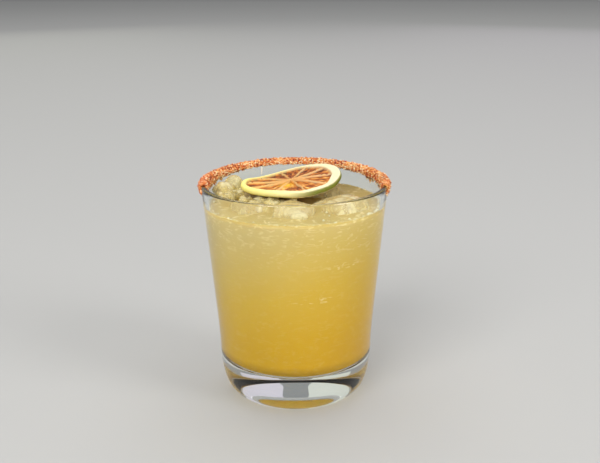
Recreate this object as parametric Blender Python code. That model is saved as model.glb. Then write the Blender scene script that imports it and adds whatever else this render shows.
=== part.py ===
"""A margarita on the rocks in a heavy-based tumbler, with a chilli-salt rim and a dried lime wheel.

Run with: blender --background --python part.py
Metres, +Z up. The origin is the middle of the foot, on the surface the glass stands on.
-Y is the front, where the rim has no salt.
"""

import math
import random

import bmesh
import bpy
from mathutils import Matrix, Vector

# The tumbler
GLASS_HEIGHT = 0.1055
RIM_RADIUS = 0.0445
BASE_RADIUS = 0.0372
BASE_TOP = 0.0280  # the heel rounds off below this height, and the wall flares above it
HEEL_POWER = 2.6  # 2 would be an ellipse, and more gives a flatter foot and a fuller heel
HEEL_STEPS = 9
FOOT_RADIUS = 0.0260
FOOT_WIDTH = 0.0030
PUNT_DEPTH = 0.0050  # the hollow under the base
PUNT_POWER = 5  # the hollow is flat in the middle and steep at its edge
LIP_WALL = 0.0022
FLOOR_HEIGHT = 0.0170  # of the floor's edge
FLOOR_DIP = 0.0015  # how much lower the floor's middle is
CAVITY_RADIUS = 0.0333  # where the inner wall meets the rounded corner
CAVITY_CORNER = 0.0085
TURN_STEPS = 60

# The drink
DRINK_LEVEL = 0.0955
FIT_GAP = 0.0003  # left between pieces that touch

# The lime wheel
LIME_RADIUS = 0.0249
LIME_THICKNESS = 0.0032
LIME_CENTRE = Vector((-0.0016, 0.0105, 0.1025))
LIME_TILT = math.radians(7.6)  # the right side is the higher one
LIME_TWIST = 0.0032  # drying has lifted the back right and the front left
LIME_CUP = 0.0005  # and has raised the left and right edges a little
LIME_CURL = 0.0019  # and has curled up a stretch of the edge at the left
LIME_CURL_AT = math.radians(163)
LIME_CURL_WIDTH = math.radians(28)
LIME_MEMBRANES = (3, 37, 71, 104, 141, 177, 209, 250, 289, 326)  # degrees
SEGMENT_STEPS = 6
PITH_WIDTH = (0.0025, 0.0044)  # at its narrowest and at its widest
PITH_WIDEST = math.radians(18)
FLESH_SINK = 0.0012
MEMBRANE_WIDTH = 0.0011

# The salt crust, in degrees round the rim from +X towards +Y
SALT_START = -14.0
SALT_END = 190.0
SALT_STEPS = 54
SALT_THICKNESS = (0.0005, 0.0013)  # at the back, at the sides
SALT_OUTER_DROP = (0.0020, 0.0058)
SALT_INNER_DROP = (0.0019, 0.0034)
SALT_LEAST_DROP = 0.0015  # enough to get past the round of the lip
SALT_RIDGE = (0.0009, 0.0)  # how much thicker it is on top of the lip
SALT_GRAINS = 60
GRAIN_RADIUS = 0.00055

# Ice that breaks the surface: middle, edge length, turn in degrees about X, Y and Z, share melted
ICE_LUMPS = (
    ((-0.0342, 0.0098, 0.0982), 0.0086, (10, 12, 16), 0.80),
    ((-0.0302, 0.0195, 0.0989), 0.0082, (14, -22, 50), 0.80),
    ((-0.0206, -0.0150, 0.0896), 0.0180, (-10, 8, 25), 0.45),
    ((-0.0001, -0.0224, 0.0907), 0.0180, (4, -5, 70), 0.45),
    ((0.0218, -0.0134, 0.0898), 0.0214, (-5, -5, 36), 0.45),
    ((0.0130, 0.0142, 0.0934), 0.0180, (0, -7, 8), 0.45),
    ((0.0000, 0.0295, 0.0922), 0.0150, (-3, -4, 42), 0.50),
)
ICE_BALL = 1.12  # the ball that a lump melts towards, as a share of its half edge
ICE_UNEVEN = 0.035


def new_object(name, bm, material):
    """Makes an object from a bmesh, with its material, shaded smooth up to 40 degrees."""
    bmesh.ops.recalc_face_normals(bm, faces=bm.faces)
    mesh = bpy.data.meshes.new(name)
    bm.to_mesh(mesh)
    bm.free()
    mesh.materials.append(material)
    mesh.shade_smooth()
    mesh.set_sharp_from_angle(angle=math.radians(40))
    made = bpy.data.objects.new(name, mesh)
    bpy.context.scene.collection.objects.link(made)
    return made


def new_material(name, colour, roughness, transmission=0.0):
    material = bpy.data.materials.new(name)
    material.use_nodes = True
    shader = material.node_tree.nodes["Principled BSDF"]
    shader.inputs["Base Color"].default_value = (*colour, 1.0)
    shader.inputs["Roughness"].default_value = roughness
    shader.inputs["Metallic"].default_value = 0.0
    shader.inputs["Transmission Weight"].default_value = transmission
    return material


def arc(centre, radii, start, end, steps):
    """Points of an elliptical arc, as (radius, height). The angles are in degrees."""
    points = []
    for i in range(steps + 1):
        a = math.radians(start + (end - start) * i / steps)
        points.append((centre[0] + radii[0] * math.cos(a), centre[1] + radii[1] * math.sin(a)))
    return points


def cavity_wall_radius(height):
    """The inner wall's radius, on the straight stretch above the corner."""
    low = FLOOR_HEIGHT + CAVITY_CORNER
    share = (height - low) / (GLASS_HEIGHT - low)
    return CAVITY_RADIUS + (RIM_RADIUS - LIP_WALL - CAVITY_RADIUS) * share


def outer_wall_radius(height):
    share = max(0.0, (height - BASE_TOP) / (GLASS_HEIGHT - BASE_TOP))
    return BASE_RADIUS + (RIM_RADIUS - BASE_RADIUS) * share


def cavity_profile(inset, top):
    """The inside of the tumbler from height top down to the axis, drawn in by inset."""
    corner_middle = (CAVITY_RADIUS - CAVITY_CORNER, FLOOR_HEIGHT + CAVITY_CORNER)
    reach = CAVITY_CORNER - inset
    points = [(cavity_wall_radius(top) - inset, top)]
    points += arc(corner_middle, (reach, reach), 0, -90, 6)
    for share in (0.5, 0.0):
        points.append((corner_middle[0] * share, FLOOR_HEIGHT + inset - FLOOR_DIP * (1 - share**2)))
    return points


def glass_profile():
    """Half of the tumbler's section: under the base, up the outside, over the lip, down the inside."""
    lip = LIP_WALL / 2
    points = []
    for share in (0.0, 0.55, 0.78, 0.91, 1.0):
        radius = (FOOT_RADIUS - FOOT_WIDTH) * share
        points.append((radius, PUNT_DEPTH * (1 - share**PUNT_POWER)))
    for i in range(HEEL_STEPS + 1):
        turn = math.pi / 2 * (1 - i / HEEL_STEPS)
        radius = FOOT_RADIUS + (BASE_RADIUS - FOOT_RADIUS) * math.cos(turn) ** (2 / HEEL_POWER)
        points.append((radius, BASE_TOP * (1 - math.sin(turn) ** (2 / HEEL_POWER))))
    points += arc((RIM_RADIUS - lip, GLASS_HEIGHT - lip), (lip, lip), 0, 180, 6)
    points += cavity_profile(0.0, GLASS_HEIGHT - lip)[1:]
    return points


def turned(profile, steps):
    """Spins a half section, given as (radius, height), once round the axis."""
    bm = bmesh.new()
    verts = [bm.verts.new((radius, 0.0, height)) for radius, height in profile]
    edges = [bm.edges.new(pair) for pair in zip(verts, verts[1:])]
    bmesh.ops.spin(
        bm, geom=verts + edges, axis=(0, 0, 1), cent=(0, 0, 0), angle=math.tau, steps=steps, use_merge=True
    )
    bmesh.ops.remove_doubles(bm, verts=bm.verts, dist=1e-6)
    return bm


def make_glass(material):
    return new_object("glass", turned(glass_profile(), TURN_STEPS), material)


def make_ice_lump(name, centre, edge, turn, melted, material, seed):
    """A cube with melted corners and uneven faces."""
    draw = random.Random(seed)
    bm = bmesh.new()
    bmesh.ops.create_cube(bm, size=edge)
    bmesh.ops.subdivide_edges(bm, edges=bm.edges, cuts=3, use_grid_fill=True)
    half = edge / 2
    for vert in bm.verts:
        ball = vert.co.normalized() * half * ICE_BALL
        vert.co = vert.co.lerp(ball, melted)
        vert.co *= 1 + draw.uniform(-ICE_UNEVEN, ICE_UNEVEN)
    turned_by = Matrix.Identity(4)
    for axis, degrees in zip("XYZ", turn):
        turned_by = Matrix.Rotation(math.radians(degrees), 4, axis) @ turned_by
    bmesh.ops.transform(bm, matrix=turned_by, verts=bm.verts)
    bmesh.ops.triangulate(bm, faces=bm.faces)
    lump = new_object(name, bm, material)
    lump.location = centre
    return lump


def make_ice(material):
    lumps = []
    for i, (centre, edge, turn, melted) in enumerate(ICE_LUMPS, start=1):
        lumps.append(make_ice_lump(f"ice_{i}", centre, edge, turn, melted, material, seed=i))
    return lumps


def make_drink(material, ice):
    """Fills the cavity up to the level, with a pocket round each lump of ice."""
    profile = [(0.0, DRINK_LEVEL)] + cavity_profile(FIT_GAP, DRINK_LEVEL)
    drink = new_object("drink", turned(profile, TURN_STEPS), material)
    for lump in ice:
        cutter = lump.copy()
        cutter.name = f"{lump.name}_pocket"
        grow = cutter.modifiers.new("grow", "DISPLACE")
        grow.mid_level = 0.0
        grow.strength = 1.3 * FIT_GAP
        cutter.hide_render = True
        cutter.display_type = "WIRE"
        bpy.context.scene.collection.objects.link(cutter)
        pocket = drink.modifiers.new(cutter.name, "BOOLEAN")
        pocket.operation = "DIFFERENCE"
        pocket.object = cutter
    return drink


def pith_width(angle):
    """The white pith is widest at the right, a little towards the back."""
    towards = max(0.0, math.cos(angle - PITH_WIDEST))
    return PITH_WIDTH[0] + (PITH_WIDTH[1] - PITH_WIDTH[0]) * towards**2


def segment_angle(even_angle):
    """Turns evenly spaced steps into steps that share out each segment, so that one is on each membrane."""
    pitch = math.tau / len(LIME_MEMBRANES)
    number, share = divmod(even_angle / pitch + 1e-4, 1.0)
    start, end = (LIME_MEMBRANES + (LIME_MEMBRANES[0] + 360,))[int(number) : int(number) + 2]
    return math.radians(start + (end - start) * share)


def segment_depth(radius, angle):
    """How far the dried flesh has sunk below the pith: nothing on a membrane, most between two."""
    beside = min(abs(math.remainder(angle - math.radians(m), math.tau)) for m in LIME_MEMBRANES) * radius
    from_membrane = min(1.0, beside / MEMBRANE_WIDTH)
    from_pith = min(1.0, max(0.0, LIME_RADIUS - pith_width(angle) - radius) / MEMBRANE_WIDTH)
    from_core = min(1.0, radius / (4 * MEMBRANE_WIDTH))
    return FLESH_SINK * from_membrane * from_pith * from_core


def edge_curl(radius, angle):
    """How far the edge is curled up."""
    away = math.remainder(angle - LIME_CURL_AT, math.tau) / LIME_CURL_WIDTH
    return LIME_CURL * (radius / LIME_RADIUS) ** 3 * math.exp(-(away**2))


def lime_profile():
    """Half of the wheel's section: middle of the top, out over the rounded rind, middle of the underside."""
    half = LIME_THICKNESS / 2
    flesh_radius = LIME_RADIUS - PITH_WIDTH[0]
    shares = (0.0, 0.09, 0.2, 0.34, 0.48, 0.62, 0.76, 0.93, 1.0)
    top = [(flesh_radius * share, half) for share in shares]
    under = [(flesh_radius * share, -half) for share in (1.0, 0.66, 0.33, 0.0)]
    rind = arc((LIME_RADIUS - half, 0.0), (half, half), 90, -90, 6)
    return top + rind + under


def make_lime_wheel(material):
    bm = turned(lime_profile(), SEGMENT_STEPS * len(LIME_MEMBRANES))
    flesh_edge = LIME_RADIUS - PITH_WIDTH[0]
    for vert in bm.verts:
        radius = math.hypot(vert.co.x, vert.co.y)
        angle = segment_angle(math.atan2(vert.co.y, vert.co.x) % math.tau)
        if radius < flesh_edge + 1e-5:
            radius *= (LIME_RADIUS - pith_width(angle)) / flesh_edge
        sink = segment_depth(radius, angle)
        vert.co.x = radius * math.cos(angle)
        vert.co.y = radius * math.sin(angle)
        vert.co.z -= math.copysign(sink if vert.co.z > 0 else sink / 2, vert.co.z)
        bend = LIME_TWIST * vert.co.x * vert.co.y + LIME_CUP * (vert.co.x**2 - vert.co.y**2)
        vert.co.z += bend / LIME_RADIUS**2 + edge_curl(radius, angle)
    wheel = new_object("lime_wheel", bm, material)
    wheel.location = LIME_CENTRE
    wheel.rotation_euler = (0, -LIME_TILT, 0)
    return wheel


def ripple(angle, phases):
    """An uneven value between about -1 and 1 that changes slowly round the rim."""
    total = 0.0
    for i, phase in enumerate(phases):
        total += math.sin((5 + 7 * i) * angle + phase) / (1.4 + 0.5 * i)
    return total / 1.6


def crust_skin(offset, outer_drop, inner_drop, ridge):
    """A line over the lip at a distance from the glass, from outside to inside, as (radius, height)."""
    lip = LIP_WALL / 2
    low_outer = GLASS_HEIGHT - outer_drop
    low_inner = GLASS_HEIGHT - inner_drop
    middle = (RIM_RADIUS - lip, GLASS_HEIGHT - lip)
    over = arc(middle, (lip + offset, lip + offset + ridge), 0, 180, 4)
    return (
        [(outer_wall_radius(low_outer) + offset, low_outer)]
        + over
        + [(cavity_wall_radius(low_inner) - offset, low_inner)]
    )


def from_back_to_side(angle, values):
    """A value that goes from the first at the back to the second at either side, most of it near the side."""
    side = abs(math.cos(angle)) ** 3
    return values[0] + (values[1] - values[0]) * side


def crust_section(angle, share, phases):
    """The closed section of the crust at one place round the rim. It thins out towards both ends."""
    fade = min(1.0, 12 * share, 12 * (1 - share))
    fade = 0.45 + 0.55 * math.sin(fade * math.pi / 2)
    outer_drop = from_back_to_side(angle, SALT_OUTER_DROP) * fade * (1 + 0.22 * ripple(angle, phases[0]))
    inner_drop = from_back_to_side(angle, SALT_INNER_DROP) * fade * (1 + 0.25 * ripple(angle, phases[1]))
    outer_drop, inner_drop = max(outer_drop, SALT_LEAST_DROP), max(inner_drop, SALT_LEAST_DROP)
    thickness = from_back_to_side(angle, SALT_THICKNESS) * fade * (1 + 0.15 * ripple(angle, phases[2]))
    ridge = from_back_to_side(angle, SALT_RIDGE)
    outer = crust_skin(FIT_GAP + thickness, outer_drop, inner_drop, ridge)
    close = crust_skin(FIT_GAP, outer_drop - FIT_GAP, inner_drop - FIT_GAP, 0.0)
    return outer + close[::-1]


def make_salt_rim(material):
    """A crust of chilli and salt that hugs the lip round the back, with the largest grains standing out."""
    draw = random.Random(7)
    phases = [[draw.uniform(0, math.tau) for _ in range(5)] for _ in range(3)]
    bm = bmesh.new()
    skins = []
    ring_edges = []
    for step in range(SALT_STEPS + 1):
        share = step / SALT_STEPS
        angle = math.radians(SALT_START + (SALT_END - SALT_START) * share)
        section = crust_section(angle, share, phases)
        places = [Vector((r * math.cos(angle), r * math.sin(angle), z)) for r, z in section]
        skins.append(places[: len(places) // 2])
        if not ring_edges:
            ring = [bm.verts.new(place) for place in places]
            ring_edges = [bm.edges.new(pair) for pair in zip(ring, ring[1:] + ring[:1])]
            bm.faces.new(ring)
            continue
        made = bmesh.ops.extrude_edge_only(bm, edges=ring_edges)["geom"]
        grown = [item for item in made if isinstance(item, bmesh.types.BMVert)]
        ring_edges = [
            item for item in made if isinstance(item, bmesh.types.BMEdge) and set(item.verts) <= set(grown)
        ]
        bm.verts.index_update()
        for vert, place in zip(ordered_like(ring, grown), places):
            vert.co = place
        ring = ordered_like(ring, grown)
    bm.faces.new(ring)
    crust = new_object("salt_rim", bm, material)
    add_grains(crust, skins, draw)
    return crust


def ordered_like(ring, grown):
    """The extruded verts in the order of the verts that they came from."""
    fresh = set(grown)
    found = []
    for vert in ring:
        found.append(next(edge.other_vert(vert) for edge in vert.link_edges if edge.other_vert(vert) in fresh))
    return found


def point_along(line, share):
    """The point at a share of a line's length."""
    left = share * sum((b - a).length for a, b in zip(line, line[1:]))
    for a, b in zip(line, line[1:]):
        length = (b - a).length
        if left <= length:
            return a.lerp(b, left / length)
        left -= length
    return line[-1]


def add_grains(crust, skins, draw):
    """Joins the largest grains to the crust with one union, spread evenly over its skin."""
    grains = bpy.data.collections.new("grains")
    bpy.context.scene.collection.children.link(grains)
    for i in range(SALT_GRAINS):
        step = round((i + draw.uniform(0.2, 0.8)) / SALT_GRAINS * SALT_STEPS)
        place = point_along(skins[step], (0.08 + 0.382 * i + draw.uniform(0, 0.2)) % 0.84 + 0.08)
        bm = bmesh.new()
        bmesh.ops.create_icosphere(bm, subdivisions=1, radius=GRAIN_RADIUS * draw.uniform(0.8, 1.2))
        turn = Matrix.Rotation(draw.uniform(0, math.tau), 4, Vector((draw.random(), draw.random(), 1)))
        bmesh.ops.transform(bm, matrix=Matrix.Translation(place) @ turn, verts=bm.verts)
        grain = new_object(f"grain_{i}", bm, crust.data.materials[0])
        bpy.context.scene.collection.objects.unlink(grain)
        grains.objects.link(grain)
    union = crust.modifiers.new("grains", "BOOLEAN")
    union.operation = "UNION"
    union.operand_type = "COLLECTION"
    union.collection = grains
    with bpy.context.temp_override(object=crust, active_object=crust, selected_objects=[crust]):
        bpy.ops.object.modifier_apply(modifier=union.name)
    for grain in list(grains.objects):
        bpy.data.objects.remove(grain)
    bpy.data.collections.remove(grains)


def main():
    for old in list(bpy.data.objects):
        bpy.data.objects.remove(old)
    clear_glass = new_material("clear_glass", (0.97, 0.98, 0.97), 0.02, transmission=1.0)
    margarita = new_material("margarita", (0.66, 0.48, 0.15), 0.08)
    clear_ice = new_material("clear_ice", (0.86, 0.84, 0.68), 0.06, transmission=0.9)
    dried_lime = new_material("dried_lime", (0.80, 0.52, 0.20), 0.6)
    chilli_salt = new_material("chilli_salt", (0.78, 0.27, 0.11), 0.7)
    make_glass(clear_glass)
    ice = make_ice(clear_ice)
    bpy.context.view_layer.update()
    make_drink(margarita, ice)
    make_lime_wheel(dried_lime)
    make_salt_rim(chilli_salt)


main()
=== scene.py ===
# %% [markdown]
# # A margarita on the rocks
#
# A cloudy, golden drink fills a heavy-based tumbler. Ice breaks its surface, a dried lime wheel
# rests on the ice, and a crust of chilli and salt runs round the back of the rim. The solids that
# were built for the physics say where everything is and how big it is. This script keeps those
# places and gives each piece the finer shape and the finish that the eye expects.

# %% Load the solids and note their size
import math
import random

import bmesh
import bpy
from mathutils import Matrix, Vector, noise


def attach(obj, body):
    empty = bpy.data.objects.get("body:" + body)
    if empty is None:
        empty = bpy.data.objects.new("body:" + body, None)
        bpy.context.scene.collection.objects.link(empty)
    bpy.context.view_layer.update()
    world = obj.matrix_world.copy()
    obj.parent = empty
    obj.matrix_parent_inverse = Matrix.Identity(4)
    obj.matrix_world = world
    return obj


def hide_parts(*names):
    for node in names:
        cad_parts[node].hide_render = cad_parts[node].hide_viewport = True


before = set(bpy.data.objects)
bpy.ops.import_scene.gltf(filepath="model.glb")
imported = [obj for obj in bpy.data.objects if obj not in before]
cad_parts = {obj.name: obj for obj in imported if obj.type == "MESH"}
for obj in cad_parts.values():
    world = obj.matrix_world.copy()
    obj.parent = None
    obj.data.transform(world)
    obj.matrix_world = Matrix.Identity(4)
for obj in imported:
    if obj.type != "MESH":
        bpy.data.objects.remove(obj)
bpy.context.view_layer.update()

scene = bpy.context.scene
MM = 0.001
print("solids:", sorted(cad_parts))

# %% [markdown]
# ## The camera
#
# The camera comes first, because everything is seen through it. It could be placed by eye, but
# the ellipses of the rim and the foot fix its height, its tilt and its distance together: the
# flatter the upper ellipse is against the lower one, the nearer the camera stands. Turning the
# camera a hair about its own line of sight gives the slight lean of the picture.

# %% Camera
CAMERA_PLACE = Vector((2.5, -450, 217.5)) * MM
CAMERA_DIP = math.radians(16.95)  # how far it looks down
CAMERA_ROLL = math.radians(-0.35)
FOCAL_PIXELS = 974  # for a picture 600 pixels wide
PICTURE_WIDTH = 600

lens = bpy.data.cameras.new("camera")
lens.lens = FOCAL_PIXELS / PICTURE_WIDTH * lens.sensor_width
lens.clip_start = 0.01
camera = bpy.data.objects.new("camera", lens)
scene.collection.objects.link(camera)
looking_down = Matrix.Rotation(math.pi / 2 - CAMERA_DIP, 4, "X")
camera.matrix_world = Matrix.Translation(CAMERA_PLACE) @ looking_down @ Matrix.Rotation(CAMERA_ROLL, 4, "Z")
scene.camera = camera
print("focal length in mm:", round(lens.lens, 1))

# %% [markdown]
# ## Small helpers
#
# Colours are picked as sRGB hex values, as in any paint program, but Blender's sockets take linear
# light, so one function turns them. A pattern's scale comes from the width of its cells in mm. One
# function adds a node with its settings and links, and one turns a finished bmesh into a piece that
# rides with the solids.


# %% Colours and nodes
def linear(code):
    """An sRGB hex colour as linear red, green, blue and alpha."""
    shares = [int(code[i : i + 2], 16) / 255 for i in (1, 3, 5)]
    return [s / 12.92 if s <= 0.04045 else ((s + 0.055) / 1.055) ** 2.4 for s in shares] + [1.0]


def scale_for(width):
    """The scale of a pattern whose cells are this wide in mm."""
    return 1 / (width * MM)


def add_node(material, kind, settings=None, sockets=None):
    """Adds a node. A socket is given a value, or another node's output to link from."""
    made = material.node_tree.nodes.new(kind)
    for name, value in (settings or {}).items():
        setattr(made, name, value)
    for name, value in (sockets or {}).items():
        if isinstance(value, bpy.types.NodeSocket):
            material.node_tree.links.new(value, made.inputs[name])
        else:
            made.inputs[name].default_value = value
    return made


def new_material(name):
    """An empty node material. Its output node is returned with it."""
    material = bpy.data.materials.new(name)
    material.use_nodes = True
    material.node_tree.nodes.clear()
    return material, material.node_tree.nodes.new("ShaderNodeOutputMaterial")


def finish_material(material, output, shader):
    """Links the last shader to the output node."""
    material.node_tree.links.new(shader.outputs[0], output.inputs["Surface"])
    print(f"{material.name}: {len(material.node_tree.nodes)} nodes")


def finish_clear_material(material, output, surface, tint):
    """The same for a clear piece, which lets the lamps' shadow rays straight through with a tint."""
    clear = add_node(material, "ShaderNodeBsdfTransparent", sockets={"Color": linear(tint)})
    path = add_node(material, "ShaderNodeLightPath")
    shaders = {0: path.outputs["Is Shadow Ray"], 1: surface.outputs[0], 2: clear.outputs[0]}
    finish_material(material, output, add_node(material, "ShaderNodeMixShader", sockets=shaders))


def set_stops(ramp_node, stops):
    """Gives a colour ramp its stops, as (place, hex colour)."""
    elements = ramp_node.color_ramp.elements
    while len(elements) > 1:
        elements.remove(elements[-1])
    for i, (place, code) in enumerate(stops):
        element = elements[0] if i == 0 else elements.new(place)
        element.position = place
        element.color = linear(code)


# %% Pieces
SAME_POINT = 0.0005 * MM  # points nearer than this are one point


def make_piece(name, bm, material, stands_for):
    """Closes a bmesh's seams, turns its faces outwards and makes it a piece on the body."""
    bmesh.ops.remove_doubles(bm, verts=bm.verts, dist=SAME_POINT)
    bmesh.ops.recalc_face_normals(bm, faces=bm.faces)
    triangles = sum(len(face.verts) - 2 for face in bm.faces)
    mesh = bpy.data.meshes.new(name)
    bm.to_mesh(mesh)
    bm.free()
    mesh.materials.append(material)
    mesh.shade_smooth()
    piece = bpy.data.objects.new(name, mesh)
    scene.collection.objects.link(piece)
    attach(piece, "root")
    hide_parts(*stands_for)
    print(f"{name}: {triangles} triangles")


def arc(centre, radii, start, end, steps):
    """Points of an elliptical arc as (radius, height). The angles are in degrees."""
    points = []
    for i in range(steps + 1):
        a = math.radians(start + (end - start) * i / steps)
        points.append((centre[0] + radii[0] * math.cos(a), centre[1] + radii[1] * math.sin(a)))
    return points


def turned(profile, steps):
    """Spins a half section, given in mm as (radius, height), once round the axis."""
    bm = bmesh.new()
    verts = [bm.verts.new((radius * MM, 0, height * MM)) for radius, height in profile]
    edges = [bm.edges.new(pair) for pair in zip(verts, verts[1:])]
    bmesh.ops.spin(
        bm, geom=verts + edges, axis=(0, 0, 1), cent=(0, 0, 0), angle=math.tau, steps=steps, use_merge=True
    )
    bmesh.ops.remove_doubles(bm, verts=bm.verts, dist=SAME_POINT)
    return bm


def soft_step(value, low, high):
    """0 below low, 1 above high, and a smooth climb between."""
    share = min(1.0, max(0.0, (value - low) / (high - low)))
    return share * share * (3 - 2 * share)


# %% [markdown]
# ## The tumbler
#
# The real one is pressed from soda-lime glass: an upright heel with a wide rounded foot, a solid
# base, and a wall that flares from about a quarter of its height. A turned profile is the natural
# way to make it, since a lathe and a mould both give a shape of revolution. The lip is fire
# polished, so it is a half round. The base is hollowed, so that it stands on a ring. The hollow is
# nearly flat, with steep sides, and that decides what the base shows: a silver band that mirrors the
# light behind the glass, and under it the floor of the drink as a streak of gold.

# %% Tumbler sizes, in mm
HEIGHT = 105.5
RIM_RADIUS = 44.5
BASE_RADIUS = 37.2
BASE_TOP = 28.0
BEND_SOFTNESS = 5.0  # the height over which the wall turns from upright to flared
HEEL_POWER = 2.6  # 2 would be an ellipse, and more gives a flatter foot and a fuller heel
FOOT_RADIUS = 26.0
FOOT_WIDTH = 3.0
PUNT_DEPTH = 5.0  # the hollow under the base
PUNT_POWER = 5  # the hollow is flat in the middle and steep at its edge
LIP_WALL = 2.2
FLOOR_HEIGHT = 17.0
FLOOR_DIP = 1.5  # how much lower the middle of the floor is
CAVITY_RADIUS = 33.3
CAVITY_CORNER = 8.5
ROUND_STEPS = 192  # how many times a section is repeated round the axis
PUNT_STEPS = 36
HEEL_STEPS = 48
WALL_STEPS = 40
LIP_STEPS = 14
CORNER_STEPS = 20


def outer_radius(height):
    """The outside of the wall, with the bend at the top of the heel rounded off."""
    above = height - BASE_TOP
    eased = (above + math.hypot(above, BEND_SOFTNESS)) / 2
    top = HEIGHT - BASE_TOP
    reach = (top + math.hypot(top, BEND_SOFTNESS)) / 2
    return BASE_RADIUS + (RIM_RADIUS - BASE_RADIUS) * eased / reach


def cavity_radius(height):
    """The inside of the wall, above the rounded corner."""
    low = FLOOR_HEIGHT + CAVITY_CORNER
    share = (height - low) / (HEIGHT - low)
    return CAVITY_RADIUS + (RIM_RADIUS - LIP_WALL - CAVITY_RADIUS) * share


def cavity_profile(inset, top, steps):
    """The inside from a height down to the axis, drawn in by inset."""
    corner = (CAVITY_RADIUS - CAVITY_CORNER, FLOOR_HEIGHT + CAVITY_CORNER)
    low = corner[1]
    wall = [top + (low - top) * i / steps for i in range(steps)]
    points = [(cavity_radius(height) - inset, height) for height in wall]
    points += arc(corner, (CAVITY_CORNER - inset, CAVITY_CORNER - inset), 0, -90, CORNER_STEPS)
    for i in range(CORNER_STEPS - 1, -1, -1):
        share = i / CORNER_STEPS
        points.append((corner[0] * share, FLOOR_HEIGHT + inset - FLOOR_DIP * (1 - share**2)))
    return points


def tumbler_profile():
    """Half of the section: under the base, up the outside, over the lip and down the inside."""
    lip = LIP_WALL / 2
    hollow = FOOT_RADIUS - FOOT_WIDTH
    shares = [math.sin(math.pi / 2 * i / PUNT_STEPS) for i in range(PUNT_STEPS + 1)]
    points = [(hollow * share, PUNT_DEPTH * (1 - share**PUNT_POWER)) for share in shares]
    for i in range(HEEL_STEPS + 1):
        turn = math.pi / 2 * (1 - i / HEEL_STEPS)
        height = BASE_TOP * (1 - math.sin(turn) ** (2 / HEEL_POWER))
        drawn_in = (BASE_RADIUS - FOOT_RADIUS) * (1 - math.cos(turn) ** (2 / HEEL_POWER))
        points.append((outer_radius(height) - drawn_in, height))
    climb = HEIGHT - lip - BASE_TOP
    for i in range(1, WALL_STEPS):
        height = BASE_TOP + climb * i / WALL_STEPS
        points.append((outer_radius(height), height))
    points += arc((outer_radius(HEIGHT) - lip, HEIGHT - lip), (lip, lip), 0, 180, LIP_STEPS)
    points += cavity_profile(0.0, HEIGHT - lip, WALL_STEPS)[1:]
    return points


print("wall just under the lip in mm:", round(outer_radius(HEIGHT) - cavity_radius(HEIGHT), 1))

# %% [markdown]
# Soda-lime glass has an IOR of 1.52 and a faint green cast where it is thick. Light that has to
# bend through glass to reach the drink makes noise, so for the lamps' shadow rays alone the glass
# is simply clear. A very fine bump stands for the slight waviness that pressing leaves.

# %% Pressed glass
GLASS_IOR = 1.52

pressed_glass, output = new_material("pressed_soda_lime_glass")
place = add_node(pressed_glass, "ShaderNodeTexCoord")
waviness = add_node(
    pressed_glass,
    "ShaderNodeTexNoise",
    sockets={"Vector": place.outputs["Object"], "Scale": scale_for(14.286), "Detail": 1.0},
)
bump = add_node(
    pressed_glass,
    "ShaderNodeBump",
    sockets={"Height": waviness.outputs["Fac"], "Distance": 0.25 * MM, "Strength": 0.25},
)
surface = add_node(
    pressed_glass,
    "ShaderNodeBsdfPrincipled",
    sockets={
        "Base Color": linear("#fafefb"),
        "Roughness": 0.0,
        "IOR": GLASS_IOR,
        "Transmission Weight": 1.0,
        "Normal": bump.outputs["Normal"],
    },
)
finish_clear_material(pressed_glass, output, surface, "#f4f6f3")

make_piece("tumbler", turned(tumbler_profile(), ROUND_STEPS), pressed_glass, ["glass"])

# %% [markdown]
# ## The ice
#
# Melting ice loses its corners first, and its faces go uneven. Each lump starts as a cube, its
# points slide towards a ball, and noise dents the faces. The lumps keep the places, sizes and
# turns of the solids. Ice has an IOR of 1.31. Here it is wet, so it is smooth. Air is frozen into
# it, which shows as pale clouds inside, and the drink has stained it a little.

# %% Ice lumps: middle in mm, edge in mm, turn in degrees about X, Y and Z, share melted
ICE_LUMPS = (
    ((-34.2, 9.8, 98.2), 8.6, (10, 12, 16), 0.80),
    ((-30.2, 19.5, 98.9), 8.2, (14, -22, 50), 0.80),
    ((-20.6, -15.0, 89.6), 18.0, (-10, 8, 25), 0.45),
    ((-0.1, -22.4, 90.7), 18.0, (4, -5, 70), 0.45),
    ((21.8, -13.4, 89.8), 21.4, (-5, -5, 36), 0.45),
    ((13.0, 14.2, 93.4), 18.0, (0, -7, 8), 0.45),
    ((0.0, 29.5, 92.2), 15.0, (-3, -4, 42), 0.50),
)
ICE_BALL = 1.12  # how much wider than the cube the ball is
ICE_CUTS = 13
DENT_WIDTH = 5.0
DENT_DEPTH = 0.055  # as a share of the lump's size
DENT_STEP = 7.3  # how far apart in the noise two lumps take their dents


def ice_lump(centre, edge, turn, melted, seed):
    """One melted cube, in its place."""
    bm = bmesh.new()
    bmesh.ops.create_cube(bm, size=edge * MM)
    bmesh.ops.subdivide_edges(bm, edges=bm.edges, cuts=ICE_CUTS, use_grid_fill=True)
    half = edge / 2 * MM
    for vert in bm.verts:
        ball = vert.co.normalized() * half * ICE_BALL
        vert.co = vert.co.lerp(ball, melted)
        dents = noise.noise(vert.co / (DENT_WIDTH * MM) + Vector((seed * DENT_STEP, 0, 0)))
        vert.co *= 1 + DENT_DEPTH * dents
    bmesh.ops.smooth_vert(bm, verts=bm.verts, factor=0.5, use_axis_x=True, use_axis_y=True, use_axis_z=True)
    for axis, degrees in zip("XYZ", turn):
        bmesh.ops.rotate(bm, verts=bm.verts, matrix=Matrix.Rotation(math.radians(degrees), 3, axis))
    bmesh.ops.translate(bm, verts=bm.verts, vec=Vector(centre) * MM)
    return bm


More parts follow.
